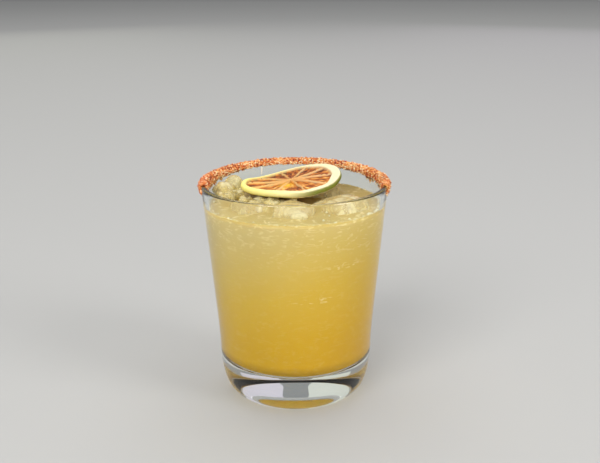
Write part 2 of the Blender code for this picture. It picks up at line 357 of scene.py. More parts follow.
# %% Wet ice
wet_ice, output = new_material("wet_cloudy_ice")
place = add_node(wet_ice, "ShaderNodeTexCoord")
clouds = add_node(
    wet_ice,
    "ShaderNodeTexNoise",
    sockets={"Vector": place.outputs["Object"], "Scale": scale_for(6.25), "Detail": 3.0, "Distortion": 1.2},
)
cloudy = add_node(
    wet_ice,
    "ShaderNodeMapRange",
    sockets={
        "Value": clouds.outputs["Fac"],
        "From Min": 0.48,
        "From Max": 0.7,
        "To Min": 0.7,
        "To Max": 0.25,
    },
)
bump = add_node(
    wet_ice,
    "ShaderNodeBump",
    sockets={"Height": clouds.outputs["Fac"], "Distance": 0.4 * MM, "Strength": 0.5},
)
surface = add_node(
    wet_ice,
    "ShaderNodeBsdfPrincipled",
    sockets={
        "Base Color": linear("#e4d9ab"),
        "Roughness": 0.12,
        "IOR": 1.31,
        "Transmission Weight": cloudy.outputs["Result"],
        "Normal": bump.outputs["Normal"],
    },
)
finish_clear_material(wet_ice, output, surface, "#e9e6cf")

for number, (centre, edge, turn, melted) in enumerate(ICE_LUMPS, start=1):
    lump = ice_lump(centre, edge, turn, melted, number)
    make_piece(f"ice_lump_{number}", lump, wet_ice, [f"ice_{number}"])

# %% [markdown]
# Chips of crushed ice have gathered under the front left of the lime wheel and round the two small
# lumps at the left. They are made as the lumps are, at their own size, and joined in one piece for
# each heap. They are too small to be solids of their own, so they go with a lump that they lie
# against.

# %% Ice chips, in mm: middle and spread of each heap
CHIP_COUNT = 46
FRONT_CHIPS = ((-12.0, -11.5, 97.0), (5.0, 3.0, 0.8))
LEFT_CHIPS = ((-32.0, 4.5, 97.2), (2.6, 6.5, 0.9))
CHIP_EDGES = (2.0, 3.8)
CHIP_MELTED = 0.5
CHIP_TOP = 98.2  # no chip's middle is higher, so that none reaches the wheel
FIRST_CHIP_SEED = 20


def ice_chips(heap):
    """Small melted cubes, each turned its own way."""
    draw = random.Random(5)
    bm = bmesh.new()
    chip_mesh = bpy.data.meshes.new("chip")
    for i in range(CHIP_COUNT):
        place = [draw.gauss(middle, spread) for middle, spread in zip(*heap)]
        place[2] = min(place[2], CHIP_TOP)
        turn = [draw.uniform(0, 90) for _ in range(3)]
        chip = ice_lump(place, draw.uniform(*CHIP_EDGES), turn, CHIP_MELTED, FIRST_CHIP_SEED + i)
        chip.to_mesh(chip_mesh)
        chip.free()
        bm.from_mesh(chip_mesh)
    bpy.data.meshes.remove(chip_mesh)
    return bm


make_piece("front_ice_chips", ice_chips(FRONT_CHIPS), wet_ice, ["ice_3"])
make_piece("left_ice_chips", ice_chips(LEFT_CHIPS), wet_ice, ["ice_1"])

# %% [markdown]
# ## The drink
#
# The drink is turned too. It reaches a hair into the wall of the glass, because a gap of air there
# would act as a mirror. Its surface creeps up the wall and up each lump of ice, as water does, and
# the stirring has left it slightly uneven.

# %% Drink sizes, in mm
LEVEL = 95.5
INTO_WALL = 0.06
CREEP_HEIGHT = 0.25  # up the wall
CREEP_REACH = 0.8
ICE_CREEP_HEIGHT = 0.5
ICE_CREEP_REACH = 1.2
RIPPLES = ((0.22, 7.0), (0.08, 2.2))  # height and width
TOP_RINGS = 56
DRINK_STEPS = 36
HAIR = 0.01  # too small to matter, as a length and as an angle


def surface_height(x, y):
    """The height of the drink's surface above a point, in mm."""
    radius = math.hypot(x, y)
    creep = CREEP_HEIGHT * (0.6 + 1.4 * noise.noise(Vector((x, y, 5)) / 3))
    height = LEVEL + creep * math.exp(-(cavity_radius(LEVEL) - radius) / CREEP_REACH)
    for centre, edge, *_ in ICE_LUMPS:
        lift = LEVEL - centre[2]
        waterline = math.sqrt(max(0.0, (edge * 0.6) ** 2 - lift**2 * 0.6))
        away = max(0.0, math.hypot(x - centre[0], y - centre[1]) - waterline)
        height += ICE_CREEP_HEIGHT * math.exp(-away / ICE_CREEP_REACH)
    for layer, (rise, width) in enumerate(RIPPLES):
        height += rise * noise.noise(Vector((x, y, 9 * layer)) / width)
    return height


def drink_body():
    """The drink, with the flat top of the turned shape lifted to its real surface. The attribute
    in_glass says for each point whether it lies against the glass."""
    edge = cavity_radius(LEVEL) + INTO_WALL
    top = [(edge * i / TOP_RINGS, LEVEL) for i in range(TOP_RINGS)]
    bm = turned(top + cavity_profile(-INTO_WALL, LEVEL, DRINK_STEPS), ROUND_STEPS)
    in_glass = bm.verts.layers.float.new("in_glass")
    for vert in bm.verts:
        on_top = vert.co.z > (LEVEL - HAIR) * MM
        vert[in_glass] = float(not on_top)
        if on_top:
            x, y = vert.co.x / MM, vert.co.y / MM
            height = surface_height(x, y)
            widen = (cavity_radius(height) - cavity_radius(LEVEL)) * (math.hypot(x, y) > edge - HAIR)
            vert.co.xy *= 1 + widen / edge
            vert.co.z = height * MM
    return bm


# %% [markdown]
# The drink's colour comes in layers that drift a little. Nearer the surface melted ice has thinned
# it, and it is paler and greener. Lower down it is a deeper gold. Towards the right it is a deeper
# gold too, and that is painted shade.

# %% Colour by depth, with painted shade towards the right
BOTTOM = FLOOR_HEIGHT * MM
DRIFT = 12  # how far the layers stray up and down, in mm
# Painted shade: the further right a point is, the lower down its colour is taken from, so the right is a
# deeper gold.
PAINTED_SHADE_LEAN = -0.28  # how much lower, for each mm to the right, a point's colour is taken from
DEPTH_COLOURS = ((0.0, "#c99a06"), (0.25, "#cba112"), (0.55, "#cdaa38"), (0.8, "#cdb15c"), (1.0, "#cbb576"))

margarita, output = new_material("cloudy_margarita")
place = add_node(margarita, "ShaderNodeTexCoord")
parts = add_node(margarita, "ShaderNodeSeparateXYZ", sockets={"Vector": place.outputs["Object"]})
drift = add_node(
    margarita,
    "ShaderNodeTexNoise",
    sockets={"Vector": place.outputs["Object"], "Scale": scale_for(38.46), "Detail": 2.0},
)
drifted = add_node(
    margarita,
    "ShaderNodeMath",
    {"operation": "MULTIPLY_ADD"},
    {0: drift.outputs["Fac"], 1: DRIFT * MM, 2: parts.outputs["Z"]},
)
# Painted shade towards the right: X is added in, so the right takes the deeper gold of lower down.
sideways = add_node(
    margarita,
    "ShaderNodeMath",
    {"operation": "MULTIPLY_ADD"},
    {0: parts.outputs["X"], 1: PAINTED_SHADE_LEAN, 2: drifted.outputs[0]},
)
share = add_node(
    margarita,
    "ShaderNodeMapRange",
    sockets={
        "Value": sideways.outputs[0],
        "From Min": BOTTOM + DRIFT / 2 * MM,
        "From Max": (LEVEL + DRIFT / 2) * MM,
    },
)
depth_colour = add_node(margarita, "ShaderNodeValToRGB", sockets={"Fac": share.outputs["Result"]})
set_stops(depth_colour, DEPTH_COLOURS)
print("the colour changes over mm:", LEVEL - FLOOR_HEIGHT)

# %% [markdown]
# Faint, broken lines show where sunken ice nearly touches the glass, and near the surface there are
# many more of them. They lie where a noise crosses its middle value. The noise is flattened, so that
# they run sideways, and a finer noise breaks them up.

# %% Lines over the ice
FLATNESS = 4.2  # how much wider than high the lines are
DEEP_ICE = (  # where a sunken lump nearly touches the glass, in mm, and how far its lines reach
    (21.0, -31.5, 74.0, 12.0),
    (8.0, -37.0, 58.5, 12.0),
    (-28.0, 22.0, 66.0, 10.0),
    (34.0, 12.0, 52.0, 9.0),
)

flatten = add_node(
    margarita, "ShaderNodeMapping", sockets={"Vector": place.outputs["Object"], "Scale": (1.0, 1.0, FLATNESS)}
)
squiggles = add_node(
    margarita,
    "ShaderNodeTexNoise",
    sockets={
        "Vector": flatten.outputs["Vector"],
        "Scale": scale_for(8.333),
        "Detail": 2.0,
        "Distortion": 0.5,
    },
)
off_middle = add_node(
    margarita, "ShaderNodeMath", {"operation": "SUBTRACT"}, {0: squiggles.outputs["Fac"], 1: 0.5}
)
distance = add_node(margarita, "ShaderNodeMath", {"operation": "ABSOLUTE"}, {0: off_middle.outputs[0]})
near_top = add_node(
    margarita,
    "ShaderNodeMapRange",
    sockets={
        "Value": parts.outputs["Z"],
        "From Min": 72 * MM,
        "From Max": 94 * MM,
        "To Min": 0.07,
        "To Max": 0.5,
    },
)
light_lines = add_node(
    margarita,
    "ShaderNodeMapRange",
    sockets={"Value": distance.outputs[0], "From Min": 0.05, "From Max": 0.0},
)
gaps = add_node(
    margarita,
    "ShaderNodeTexNoise",
    sockets={"Vector": place.outputs["Object"], "Scale": scale_for(3.03), "Detail": 1.0},
)
broken_lines = add_node(
    margarita,
    "ShaderNodeMapRange",
    sockets={
        "Value": gaps.outputs["Fac"],
        "From Min": 0.44,
        "From Max": 0.56,
        "To Max": light_lines.outputs["Result"],
    },
)
near_ice = near_top.outputs["Result"]
for x, y, z, reach in DEEP_ICE:
    flat_place = Vector((x, y, z * FLATNESS)) * MM
    away = add_node(
        margarita,
        "ShaderNodeVectorMath",
        {"operation": "DISTANCE"},
        {0: flatten.outputs["Vector"], 1: flat_place},
    )
    near_lump = add_node(
        margarita,
        "ShaderNodeMapRange",
        sockets={
            "Value": away.outputs["Value"],
            "From Min": reach * MM,
            "From Max": reach * MM / 2,
            "To Max": 0.55,
        },
    )
    near_ice = add_node(
        margarita, "ShaderNodeMath", {"operation": "MAXIMUM"}, {0: near_ice, 1: near_lump.outputs["Result"]}
    ).outputs[0]
line_share = add_node(
    margarita, "ShaderNodeMath", {"operation": "MULTIPLY"}, {0: broken_lines.outputs["Result"], 1: near_ice}
)
with_lines = add_node(
    margarita,
    "ShaderNodeMix",
    {"data_type": "RGBA"},
    {0: line_share.outputs[0], 6: depth_colour.outputs["Color"], 7: linear("#eddfa8")},
)
print("sunken lumps near the glass:", len(DEEP_ICE))

# %% [markdown]
# The floor of the drink is painted brighter than the rest, a painted light for the light that the
# thick base gathers there. The surface's colour is darker than the sides, as painted shade, and it
# is less smooth, with the lines going on across it.

# %% Floor and surface
# Painted light: the lowest mm of the drink is made a brighter gold.
floor_light_share = add_node(
    margarita,
    "ShaderNodeMapRange",
    sockets={"Value": parts.outputs["Z"], "From Min": BOTTOM + 1.6 * MM, "From Max": BOTTOM + 0.6 * MM},
)
with_floor_light = add_node(
    margarita,
    "ShaderNodeMix",
    {"data_type": "RGBA"},
    {0: floor_light_share.outputs["Result"], 6: with_lines.outputs[2], 7: linear("#ffce4a")},
)
in_glass = add_node(margarita, "ShaderNodeAttribute", {"attribute_name": "in_glass"}).outputs["Fac"]
# Painted shade: the surface is given a darker colour than the sides, against the light that falls on it from
# above.
shaded_top_colour = add_node(
    margarita,
    "ShaderNodeMix",
    {"data_type": "RGBA"},
    {0: line_share.outputs[0], 6: linear("#b29852"), 7: linear("#ecdcab")},
)
top_or_side = add_node(
    margarita,
    "ShaderNodeMix",
    {"data_type": "RGBA"},
    {0: in_glass, 6: shaded_top_colour.outputs[2], 7: with_floor_light.outputs[2]},
)
roughness = add_node(
    margarita, "ShaderNodeMapRange", sockets={"Value": in_glass, "To Min": 0.3, "To Max": 0.1}
)
specular = add_node(
    margarita, "ShaderNodeMapRange", sockets={"Value": in_glass, "To Min": 0.3, "To Max": 0.1}
)

# %% [markdown]
# Lime juice makes the drink cloudy, so light goes in, wanders and comes out again: that is
# subsurface scattering, with an IOR of 1.34.
#
# Glass bends light more than the drink does, so the face between them is a perfect mirror to an eye
# that meets it at a flat enough angle. That draws the dark and bright lines at the drink's lower
# edge. A cloudy shader can't do it by itself, so Layer Weight swaps in a mirror past that angle, on
# the faces that in_glass marks. Its Facing is one minus the angle's cosine.

# %% Cloudy margarita
DRINK_IOR = 1.34
MIRROR_ANGLE = math.asin(DRINK_IOR / GLASS_IOR)
MIRROR_FACING = round(1 - math.cos(MIRROR_ANGLE), 2)
MIRROR_BLUR = 0.03  # how soft the change is
print("a mirror past degrees:", round(math.degrees(MIRROR_ANGLE), 1))

cloudy = add_node(
    margarita,
    "ShaderNodeBsdfPrincipled",
    sockets={
        "Base Color": top_or_side.outputs[2],
        "Roughness": roughness.outputs["Result"],
        "Specular IOR Level": specular.outputs["Result"],
        "IOR": DRINK_IOR,
        "Subsurface Weight": 0.35,
        "Subsurface Radius": (1.0, 0.8, 0.4),
        "Subsurface Scale": 5 * MM,
    },
)
slant = add_node(margarita, "ShaderNodeLayerWeight", sockets={"Blend": 0.5})
past_limit = add_node(
    margarita,
    "ShaderNodeMapRange",
    sockets={
        "Value": slant.outputs["Facing"],
        "From Min": MIRROR_FACING - MIRROR_BLUR,
        "From Max": MIRROR_FACING + MIRROR_BLUR,
    },
)
mirror_share = add_node(
    margarita, "ShaderNodeMath", {"operation": "MULTIPLY"}, {0: past_limit.outputs["Result"], 1: in_glass}
)
mirror = add_node(margarita, "ShaderNodeBsdfGlossy", sockets={"Roughness": 0.02})
mix = add_node(
    margarita,
    "ShaderNodeMixShader",
    sockets={0: mirror_share.outputs[0], 1: cloudy.outputs[0], 2: mirror.outputs[0]},
)
finish_material(margarita, output, mix)

make_piece("margarita", drink_body(), margarita, ["drink"])

# %% [markdown]
# A few bubbles are left from the shaking. Most cling to the glass all round the waterline, and a
# trail of them lies on the surface at the right.

# %% Bubble film
bubble_film, output = new_material("bubble_film")
surface = add_node(
    bubble_film,
    "ShaderNodeBsdfPrincipled",
    sockets={
        "Base Color": linear("#f3e8bd"),
        "Roughness": 0.15,
        "IOR": DRINK_IOR,
        "Transmission Weight": 0.35,
    },
)
finish_material(bubble_film, output, surface)

# %% Bubbles, in mm
BUBBLE_COUNT = 150
BUBBLE_RADII = (0.25, 0.75)
TRAIL = Vector((14.2, -16.0))
TRAIL_SPREAD = Vector((1.8, 8.0))
RING_WIDTH = 1.5  # how far from the wall the others lie at most


def bubbles():
    """Small balls that float half sunk. Every fourth one is in the trail."""
    draw = random.Random(3)
    smallest, largest = BUBBLE_RADII
    bm = bmesh.new()
    for i in range(BUBBLE_COUNT):
        size = smallest + (largest - smallest) * draw.random() ** 3
        if i % 4 == 0:
            x, y = draw.gauss(TRAIL.x, TRAIL_SPREAD.x), draw.gauss(TRAIL.y, TRAIL_SPREAD.y)
        else:
            angle = draw.uniform(0, math.tau)
            radius = cavity_radius(LEVEL) - size - 0.1 - RING_WIDTH * draw.random() ** 3
            x, y = radius * math.cos(angle), radius * math.sin(angle)
        place = Matrix.Translation(Vector((x, y, surface_height(x, y) + 0.2 * size)) * MM)
        bmesh.ops.create_icosphere(bm, subdivisions=2, radius=size * MM, matrix=place)
    return bm


make_piece("bubbles", bubbles(), bubble_film, ["drink"])

# %% [markdown]
# ## The lime wheel
#
# A slice of lime dried in an oven: the flesh has shrunk and browned between the membranes, while the
# pith and the rind keep the outline. The wheel is turned from a section first. Then a rule pushes
# the flesh down between the membranes, raises its fibres and bends the whole wheel, as drying does.
# The rule also writes down what each point is made of, with the rind partly marked by painted shade, and the
# finish reads that.

# %% Lime wheel sizes, in mm
WHEEL_RADIUS = 24.9
WHEEL_THICKNESS = 3.2
WHEEL_CENTRE = Vector((-1.6, 10.5, 102.5))
WHEEL_TILT = math.radians(7.6)
WHEEL_TWIST = 3.2
WHEEL_CUP = 0.5
WHEEL_UNEVEN = 0.25
WHEEL_CURL = 1.9  # how far the edge is curled up at the left
CURL_AT = math.radians(163)
CURL_WIDTH = math.radians(28)
MEMBRANES = (3, 37, 71, 104, 141, 177, 209, 250, 289, 326)  # degrees
FLESH_SINK = 1.15
PITH_SINK = 0.25  # at the inner edge of the pith
PITH_PUCKER = 0.12
GOLD_PLACE = (-2.4, -6.2)  # a soft spot near the front that hasn't browned
GOLD_REACH = (3.2, 4.6)
MARKS = ("flesh", "membrane", "rind", "fibre", "gold")  # what is written down for each point
WHEEL_STEPS = 300
UPPER_RINGS = 80
UNDER_RINGS = 40
EDGE_STEPS = 16


def outline_scale(angle):
    """How far the outline strays from a circle."""
    spot = Vector((math.cos(angle), math.sin(angle), 3.0))
    return 0.988 + 0.014 * noise.noise(spot * 1.7) + 0.007 * noise.noise(spot * 5)


def pith_width(angle):
    """The pith is widest at the right and back right."""
    wide = soft_step(math.cos(angle - math.radians(18)), 0.35, 1.0)
    return 2.5 + 2.0 * wide + 0.6 * noise.noise(Vector((math.cos(angle), math.sin(angle), 0)) * 2.5)


def from_membrane(angle, radius):
    """The distance to the nearest membrane in mm. The membranes wander a little."""
    wander = 0.05 * noise.noise(Vector((radius / 4, math.cos(angle) * 2, math.sin(angle) * 2)))
    turns = [(angle + wander - math.radians(m) + math.pi) % math.tau - math.pi for m in MEMBRANES]
    return min(abs(t) for t in turns) * radius


def edge_curl(angle, radius):
    """How far a point is lifted by the curl of the edge."""
    away = math.remainder(angle - CURL_AT, math.tau) / CURL_WIDTH
    return WHEEL_CURL * (radius / WHEEL_RADIUS) ** 3 * math.exp(-(away**2))


def wheel_shape(bm):
    """Moves the turned wheel's points and writes down what each is made of."""
    layers = {name: bm.verts.layers.float.new(name) for name in MARKS}
    for vert in bm.verts:
        radius = math.hypot(vert.co.x, vert.co.y) / MM
        angle = math.atan2(vert.co.y, vert.co.x) % math.tau
        upper = vert.co.z > 0
        inner_edge = WHEEL_RADIUS - pith_width(angle)
        away = from_membrane(angle, radius)
        flesh = soft_step(inner_edge - radius, 0.0, 0.9)
        open_flesh = flesh * soft_step(away, 0.05, 0.38) * soft_step(radius, 0.4, 1.6)
        across = Vector((angle * 9.5, radius / 5.5, 4.0 * upper))
        blotch = Vector((vert.co.x, vert.co.y, 5 * MM * upper)) / (2.6 * MM)
        fibre = 0.6 * noise.noise(across) + 0.45 * noise.noise(across * 2.3) + 0.3 * noise.noise(blotch)
        sink = FLESH_SINK * open_flesh * (1 + 0.45 * fibre) + PITH_SINK * flesh
        sink += PITH_PUCKER * noise.noise(vert.co / (1.6 * MM)) * (1 - open_flesh)
        vert[layers["flesh"]] = open_flesh
        vert[layers["membrane"]] = flesh * (1 - open_flesh)
        # Partly real rind, partly painted shade: olive rind is marked on the edge's underside and at the
        # right front, where shade falls; higher up at the left the edge keeps the pith's colour, standing for
        # the lit rind.
        low = soft_step(-vert.co.z / MM, 0.6, 1.3)
        rind_and_shade_side = soft_step(math.cos(angle + math.radians(20)), 0.1, 0.8)
        vert[layers["rind"]] = soft_step(radius, WHEEL_RADIUS - 0.75, WHEEL_RADIUS - 0.15) * max(low, rind_and_shade_side)
        aside = (vert.co.x / MM - GOLD_PLACE[0]) / GOLD_REACH[0]
        ahead = (vert.co.y / MM - GOLD_PLACE[1]) / GOLD_REACH[1]
        vert[layers["gold"]] = math.exp(-(aside**2) - ahead**2)
        vert[layers["fibre"]] = 0.5 + 0.5 * fibre
        vert.co.xy *= outline_scale(angle)
        vert.co.z -= (sink if upper else -0.6 * sink) * MM
        x, y = vert.co.x / MM, vert.co.y / MM
        bend = (WHEEL_TWIST * x * y + WHEEL_CUP * (x * x - y * y)) / WHEEL_RADIUS**2
        uneven = WHEEL_UNEVEN * noise.noise(Vector((x, y, 0)) / 12)
        vert.co.z += (bend + edge_curl(angle, radius) + uneven) * MM


def wheel_profile():
    """Half of the wheel's section, from the middle of its top to the middle of its underside."""
    half = WHEEL_THICKNESS / 2
    flat = WHEEL_RADIUS - half
    top = [(flat * i / UPPER_RINGS, half) for i in range(UPPER_RINGS)]
    under = [(flat * i / UNDER_RINGS, -half) for i in range(UNDER_RINGS - 1, -1, -1)]
    return top + arc((flat, 0), (half, half), 90, -90, EDGE_STEPS) + under


wheel = turned(wheel_profile(), WHEEL_STEPS)
wheel_shape(wheel)
bmesh.ops.rotate(wheel, verts=wheel.verts, matrix=Matrix.Rotation(-WHEEL_TILT, 3, "Y"))
bmesh.ops.translate(wheel, verts=wheel.verts, vec=WHEEL_CENTRE * MM)
print("points in the wheel:", len(wheel.verts))

# %% [markdown]
# Dried lime: the pith goes from lemon yellow at the left to cream at the right, and the flesh is
# amber to brown with pale fibres. The rind is olive green. On the edge its colour is partly painted
# light and shade: a lighter yellow olive at the left and a darker olive at the right, and olive on
# the underside, while higher up at the left the edge keeps the pith's colour. The flesh is browner
# towards the back, and one spot near the front is still golden. It is dry but was laid on a wet
# drink, so the flesh keeps a slight gloss.

# %% Pith
dried_lime, output = new_material("oven_dried_lime")
place = add_node(dried_lime, "ShaderNodeTexCoord")
marks = {
    name: add_node(dried_lime, "ShaderNodeAttribute", {"attribute_name": name}).outputs["Fac"]
    for name in MARKS
}
parts = add_node(dried_lime, "ShaderNodeSeparateXYZ", sockets={"Vector": place.outputs["Object"]})
leftness = add_node(
    dried_lime,
    "ShaderNodeMapRange",
    sockets={"Value": parts.outputs["X"], "From Min": -24 * MM, "From Max": 10 * MM},
)
pith = add_node(
    dried_lime,
    "ShaderNodeMix",
    {"data_type": "RGBA"},
    {0: leftness.outputs["Result"], 6: linear("#fbf08a"), 7: linear("#f2e4b8")},
)

# %% Flesh
FLESH_COLOURS = ((0.26, "#f0c070"), (0.38, "#dc9440"), (0.5, "#b96723"), (0.62, "#8c4416"), (0.76, "#5a2810"))

browner = add_node(
    dried_lime,
    "ShaderNodeMapRange",
    sockets={
        "Value": parts.outputs["Y"],
        "From Min": 0.0,
        "From Max": 25 * MM,
        "To Min": -0.02,
        "To Max": 0.14,
    },
)
browned_fibre = add_node(
    dried_lime, "ShaderNodeMath", {"operation": "ADD"}, {0: marks["fibre"], 1: browner.outputs["Result"]}
)
flesh_ramp = add_node(dried_lime, "ShaderNodeValToRGB", sockets={"Fac": browned_fibre.outputs[0]})
set_stops(flesh_ramp, FLESH_COLOURS)
patchy = add_node(
    dried_lime,
    "ShaderNodeTexNoise",
    sockets={"Vector": place.outputs["Object"], "Scale": scale_for(8.333), "Detail": 2.0},
)
pink_share = add_node(
    dried_lime,
    "ShaderNodeMapRange",
    sockets={"Value": patchy.outputs["Fac"], "From Min": 0.55, "From Max": 0.7, "To Max": 0.25},
)
flesh = add_node(
    dried_lime,
    "ShaderNodeMix",
    {"data_type": "RGBA"},
    {0: pink_share.outputs["Result"], 6: flesh_ramp.outputs["Color"], 7: linear("#96482a")},
)
with_gold = add_node(
    dried_lime,
    "ShaderNodeMix",
    {"data_type": "RGBA"},
    {0: marks["gold"], 6: flesh.outputs[2], 7: linear("#f8bf33")},
)

# %% Dried lime
with_flesh = add_node(
    dried_lime,
    "ShaderNodeMix",
    {"data_type": "RGBA"},
    {0: marks["flesh"], 6: pith.outputs[2], 7: with_gold.outputs[2]},
)
with_membrane = add_node(
    dried_lime,
    "ShaderNodeMix",
    {"data_type": "RGBA"},
    {0: marks["membrane"], 6: with_flesh.outputs[2], 7: linear("#e3ab68")},
)
# Painted light and shade: the rind is a lighter yellow olive at the left, where the light falls, and a darker
# olive at the right.
lit_to_shaded_rind = add_node(
    dried_lime,
    "ShaderNodeMix",
    {"data_type": "RGBA"},
    {0: leftness.outputs["Result"], 6: linear("#b9a53a"), 7: linear("#76792a")},
)
with_rind = add_node(
    dried_lime,
    "ShaderNodeMix",
    {"data_type": "RGBA"},
    {0: marks["rind"], 6: with_membrane.outputs[2], 7: lit_to_shaded_rind.outputs[2]},
)
mottle = add_node(
    dried_lime,
    "ShaderNodeTexNoise",
    sockets={"Vector": place.outputs["Object"], "Scale": scale_for(3.846), "Detail": 4.0},
)
bump = add_node(
    dried_lime,
    "ShaderNodeBump",
    sockets={"Height": mottle.outputs["Fac"], "Distance": 0.3 * MM, "Strength": 0.5},
)
gloss = add_node(
    dried_lime,
    "ShaderNodeMapRange",
    sockets={"Value": marks["flesh"], "To Min": 0.6, "To Max": 0.5},
)
surface = add_node(
    dried_lime,
    "ShaderNodeBsdfPrincipled",
    sockets={
        "Base Color": with_rind.outputs[2],
        "Roughness": gloss.outputs["Result"],
        "IOR": 1.45,
        "Specular IOR Level": 0.2,
        "Subsurface Weight": 0.12,
        "Subsurface Radius": (1.0, 0.6, 0.2),
        "Subsurface Scale": 0.8 * MM,
        "Normal": bump.outputs["Normal"],
    },
)
finish_material(dried_lime, output, surface)

make_piece("dried_lime_wheel", wheel, dried_lime, ["lime_wheel"])

# %% [markdown]
# ## The chilli-salt rim
#
# A wetted rim pressed into a saucer picks up a crust. It reaches furthest down at the sides, where
# the rim was rolled, and its edge is ragged. At the back it sits on top of the lip. First comes a
# bumpy band that hugs the lip, spun from one closed section and moved by a rule. Then thousands of
# grains are pressed into it: cream salt crystals, orange grains stained by the chilli, and red
# chilli flakes.

# %% Crust sizes, in mm. The pairs are at the back and at the sides
CRUST_START = math.radians(-14)
CRUST_END = math.radians(190)
CRUST_THICKNESS = (0.8, 1.75)
OUTER_DROP = (0.6, 5.0)
INNER_DROP = (0.2, 2.5)
OUTER_RAGGED = ((0.3, 6.0), (0.25, 1.6))  # share and coarseness of each layer of raggedness
INNER_RAGGED = ((0.35, 5.0), (0.3, 1.4))
ON_TOP = 2.0  # how much thicker it is on top of the lip at the back
LUMPS = ((0.35, 1.5), (0.2, 0.6))  # share and coarseness of each layer of lumps
THINNEST = 0.15
BAND_SHARE = 0.55  # how much of the thickness is the band's, since the grains add the rest
OFF_GLASS = 0.02
END_WIDTH = 0.45  # how wide the crust still is at its two ends, as a share
END_STEEPNESS = 9  # how fast it widens from there, for each radian
LIP_ROUND = LIP_WALL / 2
BAND_STEPS = 30
CRUST_STEPS = 460


def back_to_side(angle, pair):
    """A value between the one for the back and the one for the sides."""
    return pair[0] + (pair[1] - pair[0]) * abs(math.cos(angle)) ** 3


def ragged(angle, size, seed):
    """Noise round the rim, about as coarse as size in mm."""
    spot = Vector((math.cos(angle), math.sin(angle), 0)) * RIM_RADIUS / size
    return noise.noise(spot + Vector((0, 0, seed)))


def edge_drop(angle, drop, layers, first_seed):
    """How far one edge of the crust reaches down the glass, in mm."""
    rough = 1 + sum(share * ragged(angle, size, first_seed + i) for i, (share, size) in enumerate(layers))
    from_end = min(angle - CRUST_START, CRUST_END - angle) * END_STEEPNESS
    width = END_WIDTH + (1 - END_WIDTH) * min(1.0, max(0.0, from_end))
    return back_to_side(angle, drop) * width * rough


def crust_point(angle, along, out):
    """A point of the crust in mm. along runs from 0 at its outer edge to 1 at its inner edge, over
    the lip, and out is the distance from the glass."""
    outer = edge_drop(angle, OUTER_DROP, OUTER_RAGGED, 1)
    inner = edge_drop(angle, INNER_DROP, INNER_RAGGED, 3)
    over = math.pi * LIP_ROUND
    reach = along * (outer + over + inner) - outer
    middle = RIM_RADIUS - LIP_ROUND
    if reach < 0:
        height = HEIGHT - LIP_ROUND + reach
        radius = outer_radius(height) + out
    elif reach > over:
        height = HEIGHT - LIP_ROUND - (reach - over)
        radius = cavity_radius(height) - out
    else:
        turn = reach / LIP_ROUND
        radius = middle + (LIP_ROUND + out) * math.cos(turn)
        height = HEIGHT - LIP_ROUND + (LIP_ROUND + out) * math.sin(turn)
    return Vector((radius * math.cos(angle), radius * math.sin(angle), height)) * MM


def crust_height(angle, along):
    """How thick the crust is at a point, in mm."""
    full = back_to_side(angle, CRUST_THICKNESS)
    full += ON_TOP * math.sin(angle) ** 2 * math.exp(-(((along - 0.5) / 0.2) ** 2))
    edge = math.sin(math.pi * min(1.0, max(0.0, along))) ** 0.5
    spot = Vector((angle * RIM_RADIUS, along * 12, 0))
    lumps = 1 + sum(share * noise.noise(spot / size) for share, size in LUMPS)
    return THINNEST + full * BAND_SHARE * edge * lumps


def crust_band():
    """A closed section is spun along the rim, and each of its points finds its own place."""
    bm = bmesh.new()
    along_layer = bm.verts.layers.float.new("along")
    out_layer = bm.verts.layers.float.new("out")
    shares = [i / BAND_STEPS for i in range(BAND_STEPS + 1)]
    section = [(along, 1.0) for along in shares] + [(along, 0.0) for along in reversed(shares)]
    ring = []
    for i, (along, out) in enumerate(section):
        vert = bm.verts.new((RIM_RADIUS * MM, 0, i * MM))
        vert[along_layer] = along
        vert[out_layer] = out
        ring.append(vert)
    edges = [bm.edges.new(pair) for pair in zip(ring, ring[1:] + ring[:1])]
    bmesh.ops.rotate(bm, verts=bm.verts, matrix=Matrix.Rotation(CRUST_START, 3, "Z"))
    sweep = CRUST_END - CRUST_START
    bmesh.ops.spin(
        bm, geom=ring + edges, axis=(0, 0, 1), cent=(0, 0, 0), angle=sweep, steps=CRUST_STEPS
    )
    bmesh.ops.holes_fill(bm, edges=bm.edges, sides=0)
    for vert in bm.verts:
        angle = math.atan2(vert.co.y, vert.co.x)
        if angle < CRUST_START - HAIR:
            angle += math.tau
        along = vert[along_layer]
        out = crust_height(angle, along) if vert[out_layer] > 0.5 else OFF_GLASS
        vert.co = crust_point(angle, along, out)
    return bm


# %% Grains
GRAIN_SIZES = (0.6, 1.25)  # as shares of the size of a kind
GRAIN_STRETCH = (0.7, 1.3)
STRAY_HEIGHT = 0.12  # in mm off the glass, for a grain beside the crust
BATCH_POINTS = 1500  # grains are made in batches, because adding to a large bmesh is slow


